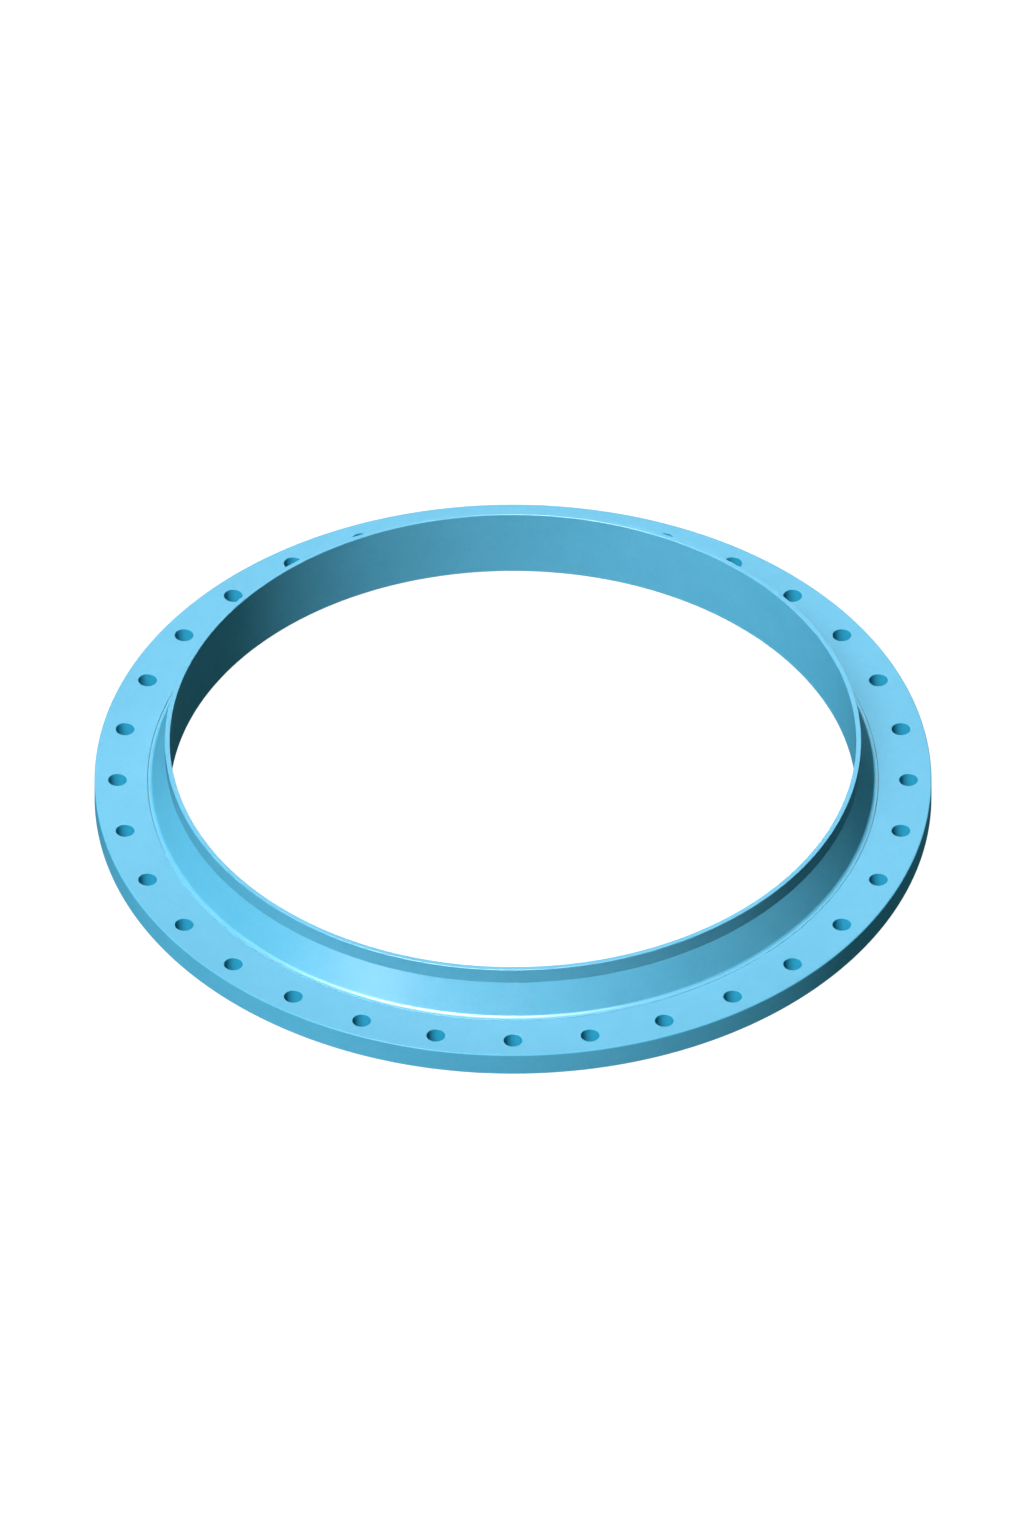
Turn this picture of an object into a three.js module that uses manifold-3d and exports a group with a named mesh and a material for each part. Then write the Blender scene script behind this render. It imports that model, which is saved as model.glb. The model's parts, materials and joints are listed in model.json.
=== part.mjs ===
// Slewing ring bearing with an L-shaped section, in millimetres, +Z up.
// The origin is the centre of the slewing axis, on the bottom face of the bolted flange.
//
// The outer ring is a flat flange with one circle of bolt holes. The inner ring turns inside it on a
// single row of balls, and rises above it as a conical weld neck. A seal above and below the balls
// closes the gap between the rings. The outer ring's top face ends in a thin cover lip, which reaches
// over the upper seal to the foot of the neck and leaves only a narrow seam.

import * as THREE from "three";
import { mergeVertices } from "three/addons/utils/BufferGeometryUtils.js";
import Module from "manifold-3d";

const wasm = await Module();
wasm.setup();

// ---------------------------------------------------------------- driving dimensions

const OUTER_RADIUS = 500;
const BORE_RADIUS = 410;
const OVERALL_HEIGHT = 92;
const FLANGE_THICKNESS = 30;
const EDGE_CHAMFER = 1.5;

const BOLT_COUNT = 32;
const BOLT_CIRCLE_RADIUS = 472.5;
const BOLT_HOLE_RADIUS = 11;

const BALL_COUNT = 48;
const BALL_RADIUS = 7;
const BALL_PITCH_RADIUS = 440;
const CAGE_SEGMENT_COUNT = 4;
const CAGE_THICKNESS = 1.6;
const CAGE_HEIGHT = 19.6;
const CAGE_POCKET_RADIUS = 7.7;
const CAGE_END_GAP = 0.01;

const RING_GAP = 2.8;
const SEAL_SEAT_DEPTH = 4.8;
const SEAL_SEAT_WIDTH = 4.6;
const SEAL_BODY_SETBACK = 0.5;
const SEAL_LIP_GAP = 1.1;
const UPPER_SEAL_TIP = 27.4;
const LOWER_SEAL_BOTTOM = 1.2;
const LOWER_SEAL_TIP = 3.6;
const STATIC_GAP = 0.3;
const RACEWAY_CLEARANCE = 0.4;

const INNER_RING_BOTTOM = 2;
const INNER_RING_CHAMFER = 1;
const NECK_OUTER_RADIUS = 416;
const CONE_BASE_RADIUS = 432;
const CONE_TOP_HEIGHT = 72;
const CONE_FILLET = 6;
const COVER_LIP_THICKNESS = 1.4;
const SEAM_WIDTH = 0.7;
const SHOULDER_GAP = 0.4;

const TAPPED_HOLE_COUNT = 24;
const TAPPED_HOLE_RADIUS = 5.1;
const TAPPED_CIRCLE_RADIUS = 420;
const TAPPED_HOLE_DEPTH = 22;

const PLUG_RADIUS = 7.2;
const PLUG_INNER_END = 443;
const PLUG_RECESS = 1;
const PIN_RADIUS = 3;
const PIN_CIRCLE_RADIUS = 480;
const PIN_BOTTOM = 1;
const PIN_TOP = 25.5;

const GREASE_CHANNEL_RADIUS = 4;
const GREASE_POCKET_RADIUS = 9;
const GREASE_POCKET_DEPTH = 10;
const HEXAGON_SIDES = 6;
const NIPPLE_HEXAGON_RADIUS = 5.2;
const NIPPLE_HEXAGON_HEIGHT = 3;

// How finely round shapes are divided.
const RING_SEGMENTS = 128;
const SEAL_SEGMENTS = 64;
const RACEWAY_SEGMENTS = 6;
const FILLET_SEGMENTS = 2;
const BOLT_HOLE_SIDES = 16;
const SMALL_HOLE_SIDES = 10;
const TAPPED_HOLE_SIDES = 12;
const BALL_DETAIL = 1;

// How far a cutting tool reaches past the face that it cuts through.
const OVERSHOOT = 1;

// Vertices closer together than this become one vertex.
const MERGE_DISTANCE = 0.001;

// ---------------------------------------------------------------- derived dimensions

const FULL_TURN = 2 * Math.PI;
const BALL_HEIGHT = FLANGE_THICKNESS / 2;
const RACEWAY_RADIUS = BALL_RADIUS + RACEWAY_CLEARANCE;
const INNER_LAND_RADIUS = BALL_PITCH_RADIUS - RING_GAP / 2;
const OUTER_LAND_RADIUS = BALL_PITCH_RADIUS + RING_GAP / 2;
const SEAL_SEAT_RADIUS = OUTER_LAND_RADIUS + SEAL_SEAT_WIDTH;
const SEAL_ROOT_RADIUS = SEAL_SEAT_RADIUS - STATIC_GAP;
const UPPER_SEAT_FLOOR = FLANGE_THICKNESS - SEAL_SEAT_DEPTH;
const COVER_LIP_UNDERSIDE = FLANGE_THICKNESS - COVER_LIP_THICKNESS;
const SHOULDER_HEIGHT = COVER_LIP_UNDERSIDE - SHOULDER_GAP;

// The cone's slope above the horizontal, and where its foot fillet runs out into the level.
const CONE_SLOPE = Math.atan2(CONE_TOP_HEIGHT - FLANGE_THICKNESS, CONE_BASE_RADIUS - NECK_OUTER_RADIUS);
const NECK_FOOT_RADIUS = CONE_BASE_RADIUS + CONE_FILLET * Math.tan(CONE_SLOPE / 2);
const COVER_LIP_RADIUS = NECK_FOOT_RADIUS + SEAM_WIDTH;

// Accessories sit between two bolt holes, on the half of the rim that faces +Y.
const BOLT_STEP = FULL_TURN / BOLT_COUNT;
const PLUG_AZIMUTH = 8.5 * BOLT_STEP;
const GREASE_AZIMUTHS = { right: 3.5 * BOLT_STEP, left: 12.5 * BOLT_STEP };

// ---------------------------------------------------------------- materials

const paint = new THREE.MeshStandardMaterial({ color: 0x6ccbf5, roughness: 0.45, metalness: 0 });
const ballSteel = new THREE.MeshStandardMaterial({ color: 0xc9ccd0, roughness: 0.12, metalness: 1 });
const pinSteel = new THREE.MeshStandardMaterial({ color: 0x8e9196, roughness: 0.4, metalness: 1 });
const polyamide = new THREE.MeshStandardMaterial({ color: 0xe6dfc8, roughness: 0.6, metalness: 0 });
const nitrile = new THREE.MeshStandardMaterial({ color: 0x1b1c1e, roughness: 0.75, metalness: 0 });
const brass = new THREE.MeshStandardMaterial({ color: 0xc9a54f, roughness: 0.3, metalness: 1 });

// ---------------------------------------------------------------- shape helpers

// A closed outline of [radius, height] points turned about the Z axis.
function turned(outline, segments = RING_SEGMENTS) {
  const points = [...outline, outline[0]].map(([r, z]) => new THREE.Vector2(r, z));
  return new THREE.LatheGeometry(points, segments).rotateX(Math.PI / 2);
}

function toSolid(geometry) {
  const bare = geometry.clone();
  bare.deleteAttribute("normal");
  bare.deleteAttribute("uv");
  const merged = mergeVertices(bare, MERGE_DISTANCE);
  const vertProperties = merged.attributes.position.array;
  const triVerts = new Uint32Array(merged.index.array);
  return new wasm.Manifold(new wasm.Mesh({ numProp: 3, vertProperties, triVerts }));
}

function toGeometry(solid) {
  const mesh = solid.getMesh();
  const geometry = new THREE.BufferGeometry();
  geometry.setAttribute("position", new THREE.BufferAttribute(mesh.vertProperties, 3));
  geometry.setIndex(new THREE.BufferAttribute(mesh.triVerts, 1));
  geometry.computeVertexNormals();
  return geometry;
}

function cut(geometry, tools) {
  return toGeometry(tools.reduce((solid, tool) => solid.subtract(toSolid(tool)), toSolid(geometry)));
}

// A cylinder parallel to the slewing axis, from height low to height high.
function uprightCylinder(radius, low, high, circleRadius, azimuth, sides) {
  const cylinder = new THREE.CylinderGeometry(radius, radius, high - low, sides).rotateX(Math.PI / 2);
  const x = circleRadius * Math.cos(azimuth);
  const y = circleRadius * Math.sin(azimuth);
  return cylinder.translate(x, y, (low + high) / 2);
}

// A cylinder that points away from the slewing axis at ball height, from radius near to radius far.
function radialCylinder(radius, near, far, azimuth, sides) {
  const cylinder = new THREE.CylinderGeometry(radius, radius, far - near, sides);
  return cylinder.translate(0, (near + far) / 2, BALL_HEIGHT).rotateZ(azimuth - Math.PI / 2);
}

// Outline points of a ball groove, from its lower land to its upper land.
// side is -1 for the groove in the inner ring and +1 for the one in the outer ring.
function raceway(side) {
  const halfAngle = Math.acos(RING_GAP / 2 / RACEWAY_RADIUS);
  return Array.from({ length: RACEWAY_SEGMENTS + 1 }, (_, i) => {
    const angle = halfAngle * ((2 * i) / RACEWAY_SEGMENTS - 1);
    const reach = RACEWAY_RADIUS * Math.cos(angle);
    return [BALL_PITCH_RADIUS + side * reach, BALL_HEIGHT + RACEWAY_RADIUS * Math.sin(angle)];
  });
}

// Outline points of the hollow fillet at the foot of the neck, from the level up to the cone.
function coneFillet() {
  const centreHeight = FLANGE_THICKNESS + CONE_FILLET;
  return Array.from({ length: FILLET_SEGMENTS + 1 }, (_, i) => {
    const turn = (CONE_SLOPE * i) / FILLET_SEGMENTS;
    return [NECK_FOOT_RADIUS - CONE_FILLET * Math.sin(turn), centreHeight - CONE_FILLET * Math.cos(turn)];
  });
}

// ---------------------------------------------------------------- rings

function outerRing() {
  const blank = turned([
    [OUTER_RADIUS - EDGE_CHAMFER, 0],
    [OUTER_RADIUS, EDGE_CHAMFER],
    [OUTER_RADIUS, FLANGE_THICKNESS - EDGE_CHAMFER],
    [OUTER_RADIUS - EDGE_CHAMFER, FLANGE_THICKNESS],
    [COVER_LIP_RADIUS, FLANGE_THICKNESS],
    [COVER_LIP_RADIUS, COVER_LIP_UNDERSIDE],
    [SEAL_SEAT_RADIUS, COVER_LIP_UNDERSIDE],
    [SEAL_SEAT_RADIUS, UPPER_SEAT_FLOOR],
    [OUTER_LAND_RADIUS, UPPER_SEAT_FLOOR],
    ...raceway(1).reverse(),
    [OUTER_LAND_RADIUS, SEAL_SEAT_DEPTH],
    [SEAL_SEAT_RADIUS, SEAL_SEAT_DEPTH],
    [SEAL_SEAT_RADIUS, 0],
  ]);
  const boltHoles = Array.from({ length: BOLT_COUNT }, (_, i) =>
    uprightCylinder(
      BOLT_HOLE_RADIUS,
      -OVERSHOOT,
      FLANGE_THICKNESS + OVERSHOOT,
      BOLT_CIRCLE_RADIUS,
      i * BOLT_STEP,
      BOLT_HOLE_SIDES,
    ),
  );
  const plugBore = radialCylinder(
    PLUG_RADIUS + STATIC_GAP, BALL_PITCH_RADIUS, OUTER_RADIUS + OVERSHOOT, PLUG_AZIMUTH, BOLT_HOLE_SIDES,
  );
  const greaseBores = Object.values(GREASE_AZIMUTHS).flatMap((azimuth) => [
    radialCylinder(
      GREASE_CHANNEL_RADIUS, BALL_PITCH_RADIUS, OUTER_RADIUS, azimuth, SMALL_HOLE_SIDES,
    ),
    radialCylinder(
      GREASE_POCKET_RADIUS,
      OUTER_RADIUS - GREASE_POCKET_DEPTH,
      OUTER_RADIUS + OVERSHOOT,
      azimuth,
      BOLT_HOLE_SIDES,
    ),
  ]);
  return cut(blank, [...boltHoles, plugBore, pinHole(), ...greaseBores]);
}

function innerRing() {
  const blank = turned([
    [BORE_RADIUS + INNER_RING_CHAMFER, INNER_RING_BOTTOM],
    [INNER_LAND_RADIUS - INNER_RING_CHAMFER, INNER_RING_BOTTOM],
    [INNER_LAND_RADIUS, INNER_RING_BOTTOM + INNER_RING_CHAMFER],
    ...raceway(-1),
    [INNER_LAND_RADIUS, SHOULDER_HEIGHT],
    [NECK_FOOT_RADIUS, SHOULDER_HEIGHT],
    ...coneFillet(),
    [NECK_OUTER_RADIUS, CONE_TOP_HEIGHT],
    [NECK_OUTER_RADIUS, OVERALL_HEIGHT],
    [BORE_RADIUS, OVERALL_HEIGHT],
    [BORE_RADIUS, INNER_RING_BOTTOM + INNER_RING_CHAMFER],
  ]);
  const tappedHoles = Array.from({ length: TAPPED_HOLE_COUNT }, (_, i) =>
    uprightCylinder(
      TAPPED_HOLE_RADIUS,
      INNER_RING_BOTTOM - OVERSHOOT,
      INNER_RING_BOTTOM + TAPPED_HOLE_DEPTH,
      TAPPED_CIRCLE_RADIUS,
      ((i + 0.5) * FULL_TURN) / TAPPED_HOLE_COUNT,
      TAPPED_HOLE_SIDES,
    ),
  );
  return cut(blank, tappedHoles);
}

// ---------------------------------------------------------------- balls and cage

const BALL_STEP = FULL_TURN / BALL_COUNT;
const ballAzimuth = (index) => (index + 0.5) * BALL_STEP;

function ball(index) {
  const mesh = new THREE.Mesh(new THREE.IcosahedronGeometry(BALL_RADIUS, BALL_DETAIL), ballSteel);
  const azimuth = ballAzimuth(index);
  mesh.name = `ball_${String(index + 1).padStart(2, "0")}`;
  mesh.position.set(
    BALL_PITCH_RADIUS * Math.cos(azimuth), BALL_PITCH_RADIUS * Math.sin(azimuth), BALL_HEIGHT,
  );
  mesh.rotation.z = azimuth;
  return mesh;
}

// A curved strip with one round pocket per ball. Each pocket lies in one flat facet of the strip.
function cageSegment(index) {
  const ballsPerSegment = BALL_COUNT / CAGE_SEGMENT_COUNT;
  const span = FULL_TURN / CAGE_SEGMENT_COUNT;
  const facet = BALL_STEP / 2;
  const facetEdges = Array.from({ length: 2 * ballsPerSegment }, (_, i) => (i + 0.5) * facet);
  const angles = [CAGE_END_GAP, ...facetEdges, span - CAGE_END_GAP].map((angle) => index * span + angle);
  const arc = (radius) =>
    angles.map((angle) => new THREE.Vector2(radius * Math.cos(angle), radius * Math.sin(angle)));
  const outline = new THREE.Shape([
    ...arc(BALL_PITCH_RADIUS + CAGE_THICKNESS / 2),
    ...arc(BALL_PITCH_RADIUS - CAGE_THICKNESS / 2).reverse(),
  ]);
  const strip = new THREE.ExtrudeGeometry(outline, { depth: CAGE_HEIGHT, bevelEnabled: false });
  strip.translate(0, 0, BALL_HEIGHT - CAGE_HEIGHT / 2);
  const pockets = Array.from({ length: ballsPerSegment }, (_, i) =>
    radialCylinder(
      CAGE_POCKET_RADIUS,
      BALL_PITCH_RADIUS - RING_GAP,
      BALL_PITCH_RADIUS + RING_GAP,
      ballAzimuth(index * ballsPerSegment + i),
      SMALL_HOLE_SIDES,
    ),
  );
  return cut(strip, pockets);
}

// ---------------------------------------------------------------- seals

// A lip seal that sits in the outer ring and points its lip at the inner ring.
// low and high are the heights of its body, and tip is the height of its lip.
function seal(low, high, tip) {
  const bodyRadius = OUTER_LAND_RADIUS - SEAL_BODY_SETBACK;
  const outline = [
    [SEAL_ROOT_RADIUS, low],
    [SEAL_ROOT_RADIUS, high],
    [bodyRadius, high],
    [INNER_LAND_RADIUS + SEAL_LIP_GAP, tip],
    [bodyRadius, low],
  ];
  return turned(outline, SEAL_SEGMENTS);
}

const upperSeal = () =>
  seal(UPPER_SEAT_FLOOR + STATIC_GAP, COVER_LIP_UNDERSIDE - STATIC_GAP, UPPER_SEAL_TIP);
const lowerSeal = () => seal(LOWER_SEAL_BOTTOM, SEAL_SEAT_DEPTH - STATIC_GAP, LOWER_SEAL_TIP);

// ---------------------------------------------------------------- filling plug, pin and grease nipples

const pinHole = () =>
  uprightCylinder(
    PIN_RADIUS + STATIC_GAP,
    -OVERSHOOT,
    PIN_TOP + STATIC_GAP,
    PIN_CIRCLE_RADIUS,
    PLUG_AZIMUTH,
    SMALL_HOLE_SIDES,
  );

// The plug closes the bore through which the balls go in, and its end carries on the raceway.
function fillingPlug() {
  const blank = radialCylinder(
    PLUG_RADIUS, PLUG_INNER_END, OUTER_RADIUS - PLUG_RECESS, PLUG_AZIMUTH, BOLT_HOLE_SIDES,
  );
  const track = new THREE.TorusGeometry(
    BALL_PITCH_RADIUS, RACEWAY_RADIUS, SMALL_HOLE_SIDES, RING_SEGMENTS,
  ).translate(0, 0, BALL_HEIGHT);
  return cut(blank, [track, pinHole()]);
}

function plugPin() {
  return uprightCylinder(
    PIN_RADIUS, PIN_BOTTOM, PIN_TOP, PIN_CIRCLE_RADIUS, PLUG_AZIMUTH, SMALL_HOLE_SIDES,
  );
}

// A straight grease nipple along +Y, with its hexagon's seat at the origin. The outline runs from the
// end of the stud, through the collar that fills the hexagon and the waist, to the top of the head.
function greaseNipple() {
  const studRadius = GREASE_CHANNEL_RADIUS - STATIC_GAP;
  const outline = [
    [0, -7], [studRadius, -7], [studRadius, 0.5], [3.6, 0.5], [3.6, 4],
    [2.3, 5], [2.3, 6], [3.25, 7], [2.6, 8.4], [1, 9], [0, 9],
  ];
  const body = new THREE.LatheGeometry(
    outline.map(([r, y]) => new THREE.Vector2(r, y)), SMALL_HOLE_SIDES,
  );
  const hexagon = new THREE.CylinderGeometry(
    NIPPLE_HEXAGON_RADIUS, NIPPLE_HEXAGON_RADIUS, NIPPLE_HEXAGON_HEIGHT, HEXAGON_SIDES,
  ).translate(0, NIPPLE_HEXAGON_HEIGHT / 2 + STATIC_GAP, 0);
  return toGeometry(toSolid(body).add(toSolid(hexagon)));
}

function greaseNippleMesh(side) {
  const mesh = new THREE.Mesh(greaseNipple(), brass);
  const azimuth = GREASE_AZIMUTHS[side];
  const seatRadius = OUTER_RADIUS - GREASE_POCKET_DEPTH;
  mesh.name = `grease_nipple_${side}`;
  mesh.position.set(seatRadius * Math.cos(azimuth), seatRadius * Math.sin(azimuth), BALL_HEIGHT);
  mesh.rotation.z = azimuth - Math.PI / 2;
  return mesh;
}

// ---------------------------------------------------------------- assembly

function named(name, geometry, material) {
  const mesh = new THREE.Mesh(geometry, material);
  mesh.name = name;
  return mesh;
}

const fixedRing = new THREE.Group();
fixedRing.add(named("outer_ring", outerRing(), paint));
fixedRing.add(named("upper_seal", upperSeal(), nitrile));
fixedRing.add(named("lower_seal", lowerSeal(), nitrile));
fixedRing.add(named("filling_plug", fillingPlug(), paint));
fixedRing.add(named("plug_taper_pin", plugPin(), pinSteel));
fixedRing.add(greaseNippleMesh("right"), greaseNippleMesh("left"));

const ballCage = new THREE.Group();
for (let i = 0; i < CAGE_SEGMENT_COUNT; i += 1) {
  ballCage.add(named(`cage_segment_${i + 1}`, cageSegment(i), polyamide));
}
for (let i = 0; i < BALL_COUNT; i += 1) {
  ballCage.add(ball(i));
}

const rotatingRing = new THREE.Group();
rotatingRing.add(named("inner_ring", innerRing(), paint));

const slewingRing = new THREE.Group();
slewingRing.add(fixedRing, ballCage, rotatingRing);

export default slewingRing;
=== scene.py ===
"""Looks for the slewing ring bearing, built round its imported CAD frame.

Shapes are drafted in millimetres in the row frame, with the slewing axis on Z and the flange's bottom
face at height 0, and are scaled to metres when they become Blender meshes.
"""

import json
import math
from contextlib import contextmanager

import bmesh
import bpy
from mathutils import Matrix, Vector


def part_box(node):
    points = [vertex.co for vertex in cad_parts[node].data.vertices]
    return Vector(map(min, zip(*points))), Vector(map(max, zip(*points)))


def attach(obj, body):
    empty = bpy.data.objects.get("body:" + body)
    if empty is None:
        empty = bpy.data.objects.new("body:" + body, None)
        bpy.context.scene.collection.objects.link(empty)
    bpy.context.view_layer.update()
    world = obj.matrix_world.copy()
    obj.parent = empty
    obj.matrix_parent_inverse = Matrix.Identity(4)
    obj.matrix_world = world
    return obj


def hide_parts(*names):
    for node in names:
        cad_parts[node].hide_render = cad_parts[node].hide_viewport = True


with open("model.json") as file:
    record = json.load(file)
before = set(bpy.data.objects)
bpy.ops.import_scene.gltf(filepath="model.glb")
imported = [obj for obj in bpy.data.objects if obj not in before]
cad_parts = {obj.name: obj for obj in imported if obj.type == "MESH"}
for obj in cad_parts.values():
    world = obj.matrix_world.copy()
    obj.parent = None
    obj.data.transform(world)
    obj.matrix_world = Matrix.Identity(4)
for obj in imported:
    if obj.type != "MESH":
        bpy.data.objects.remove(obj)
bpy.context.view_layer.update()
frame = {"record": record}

MM = 0.001
FULL_TURN = 2 * math.pi
QUARTER_TURN = math.pi / 2

# ---------------------------------------------------------------- how finely shapes are divided

RING_SEGMENTS = 384
SMALL_SIDES = 48
FACE_ROWS = 8
RACEWAY_STEPS = 22
CAGE_CELL_COLUMNS = 14
CAGE_CELL_ROWS = 6
BALL_SUBDIVISIONS = 4
ARC_STEP = math.radians(16)

# Edges that bend by more than this stay sharp.
SHARP_ANGLE = math.radians(38)

# How strongly large faces set the shading of the rounded edges beside them.
FLAT_FACE_WEIGHT = 80

# ---------------------------------------------------------------- sizes, in millimetres

# After a cut, points closer together than this become one.
CUT_TOLERANCE = 0.005

# How far a cutter reaches past the face that it cuts through.
OVERSHOOT = 1

OUTER_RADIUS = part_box("outer_ring")[1].x / MM
FLANGE_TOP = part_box("outer_ring")[1].z / MM
NECK_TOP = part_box("inner_ring")[1].z / MM
INNER_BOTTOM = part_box("inner_ring")[0].z / MM

BALL_COUNT = 48
BALL_RADIUS = 7
BALL_PITCH = 440
BALL_HEIGHT = FLANGE_TOP / 2
RACEWAY_RADIUS = 7.4
RING_GAP = 2.8
INNER_LAND = BALL_PITCH - RING_GAP / 2
OUTER_LAND = BALL_PITCH + RING_GAP / 2

# Each ball is turned by these angles more than the one before, so that no two show the same marks.
BALL_TURNS = (1.1, 0.7, 1.9)

# The neck of the inner ring, and the seam between its foot and the outer ring's cover lip.
BORE_RADIUS = 410
NECK_RADIUS = 416
CONE_FOOT = 432
CONE_TOP = 72
CONE_FILLET = 5.6
NECK_BEND = 3
NECK_FOOT = 436.14
SEAM_WIDTH = 0.7
COVER_LIP_RADIUS = NECK_FOOT + SEAM_WIDTH
COVER_LIP_THICKNESS = 1.4
COVER_LIP_UNDERSIDE = FLANGE_TOP - COVER_LIP_THICKNESS
SHOULDER_GAP = 0.4
SHOULDER_HEIGHT = COVER_LIP_UNDERSIDE - SHOULDER_GAP

SEAT_RADIUS = 446
SEAT_DEPTH = 4.8

# Roundings of the rings' edges.
RIM_ROUNDING = 1.5
SEAT_MOUTH_ROUNDING = 0.5
SEAT_ROUNDING = 0.3
SEAM_ROUNDING = 0.2
SHOULDER_ROUNDING = 0.4
NECK_TOP_ROUNDING = 0.7
INNER_FOOT_ROUNDING = 0.9
BORE_FOOT_ROUNDING = 1

BOLT_COUNT = 32
BOLT_CIRCLE = 472.5
BOLT_STEP = FULL_TURN / BOLT_COUNT
BOLT_HOLE_RADIUS = 11

# Where the flat face ends round each bolt hole, the rounding from there into the hole, and how far in
# the hole's straight wall gets its own row of points.
BOLT_RIM_RADIUS = 11.8
BOLT_EDGE_ROUNDING = 0.784
BOLT_WALL_INSET = 1.5

# The flat faces round the bolt holes and round the tapped holes, and how far each hole's even ring of
# quads stands out from the hole.
BOLT_FACE_INNER = 452
BOLT_FACE_OUTER = 496
BOLT_PATCH_MARGIN = 1.5
TAPPED_FACE_INNER = 411.5
TAPPED_FACE_OUTER = 436
TAPPED_PATCH_MARGIN = 0.9

TAPPED_COUNT = 24
TAPPED_STEP = FULL_TURN / TAPPED_COUNT
TAPPED_CIRCLE = 420
TAPPED_FLOOR = 24
DRILL_POINT = 3
COUNTERSINK_RADIUS = 6.3
COUNTERSINK_DEPTH = 1
THREAD_MINOR = 5.15
THREAD_MAJOR = 5.9
THREAD_PITCH = 1.75
THREAD_TURNS = 10
THREAD_START = 3.4

# Where the flat bottom of each thread groove starts and ends, as shares of the pitch.
THREAD_GROOVE = (0.45, 0.55)

# The finish of a face follows from its middle. These say how far past a surface the middle may lie, and
# how deep the outside paint reaches into the gap, the seam and the bolt holes.
TOUCH = 0.01
HOLE_TOUCH = 0.05
PAINT_INTO_GAP = 0.6
STEEL_UP_SEAM = 0.1
PAINT_INTO_HOLE = 0.5

CAGE_SEGMENTS = 4
CAGE_THICKNESS = 1.6
CAGE_HEIGHT = 19.6
CAGE_INNER = BALL_PITCH - CAGE_THICKNESS / 2
CAGE_OUTER = BALL_PITCH + CAGE_THICKNESS / 2
CAGE_LOW = BALL_HEIGHT - CAGE_HEIGHT / 2
CAGE_HIGH = BALL_HEIGHT + CAGE_HEIGHT / 2
CAGE_POCKET_RADIUS = 7.6
CAGE_POCKET_MARGIN = 0.8

# The rounding of the cage's edges, and how sharply an edge bends before it gets one.
CAGE_BEVEL = 0.25
CAGE_BEVEL_SEGMENTS = 2
CAGE_BEVEL_ANGLE = math.radians(60)

# The angle left free at each end of a cage segment.
CAGE_END_GAP = 0.01

# Seal outlines as (radius, height, rounding), from the root in the seat to the lip and back.
SEAL_CLEARANCE = 0.35
SEAL_ROOT = SEAT_RADIUS - SEAL_CLEARANCE
UPPER_SEAL = [
    (SEAL_ROOT, 25.6, 0.3), (SEAL_ROOT, 28.3, 0.3), (442.6, 28.3, 0.3), (441.8, 27.7, 0.3),
    (439.4, 28.3, 0.15), (438.95, 27.9, 0.15), (440.7, 26.6, 0.4), (441.2, 25.6, 0.3),
]
LOWER_SEAL = [
    (SEAL_ROOT, 4.4, 0.3), (SEAL_ROOT, 1.3, 0.3), (442.6, 1.3, 0.3), (441.8, 2.1, 0.3),
    (439.6, 2.9, 0.15), (439.0, 3.4, 0.15), (440.7, 3.9, 0.3), (441.2, 4.4, 0.15),
]

# The chamfer at the mouth of every bore that is cut into the outer ring.
MOUTH_CHAMFER = 0.6

PLUG_AZIMUTH = 8.5 * BOLT_STEP
PLUG_RADIUS = 7.2
PLUG_BORE_RADIUS = 7.5
PLUG_FACE = OUTER_RADIUS - 1
PLUG_ROUNDING = 0.7
PLUG_SIDE_START = 460
PLUG_INNER_END = 443

# How far the plug's inner end lies behind the raceway that it carries on, and the rings of points on
# that end, as shares of the plug's radius.
PLUG_SETBACK = 0.05
PLUG_END_RINGS = (0.2, 0.4, 0.6, 0.8, 0.95, 1)

# The hole in the plug's face by which it is pulled out.
PULL_HOLE_RADIUS = 2.6
PULL_HOLE_CHAMFER = 1
PULL_HOLE_FLOOR = 488
PULL_HOLE_TIP = 486.5

PIN_CIRCLE = 480
PIN_RADIUS = 3
PIN_TAPER = 0.2
PIN_ROUNDING = 0.7
PIN_HOLE_RADIUS = 3.3
PIN_HOLE_TOP = 25.8
PIN_HOLE_TIP = 27

GREASE_AZIMUTHS = {"right": 3.5 * BOLT_STEP, "left": 12.5 * BOLT_STEP}
GREASE_SEAT = OUTER_RADIUS - 10
GREASE_POCKET_RADIUS = 9
GREASE_CHANNEL_RADIUS = 4

# The grease nipple, as heights above its seat: its stud and head as (radius, height, rounding), and the
# rows of its hexagon as (how far out the corners may reach, height).
NIPPLE_STUD_END = -7
NIPPLE_STUD = [(3.2, NIPPLE_STUD_END), (3.7, -6.5), (3.7, 0.3)]
NIPPLE_FLAT = 4.5
NIPPLE_HEXAGON = [(4.6, 0.3), (5.2, 0.65), (5.2, 2.95), (4.6, 3.3)]
NIPPLE_HEAD = [
    (3.9, 3.3), (3.5, 3.4), (3.5, 4.2, 0.3), (2.3, 4.9, 0.4), (2.3, 6, 0.3), (3.25, 6.9, 0.4),
    (2.6, 8.4, 0.6), (1.1, 9, 0.3), (0.6, 9), (0.6, 8.2),
]
NIPPLE_INLET_TIP = 8.3

# ---------------------------------------------------------------- colours

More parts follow.
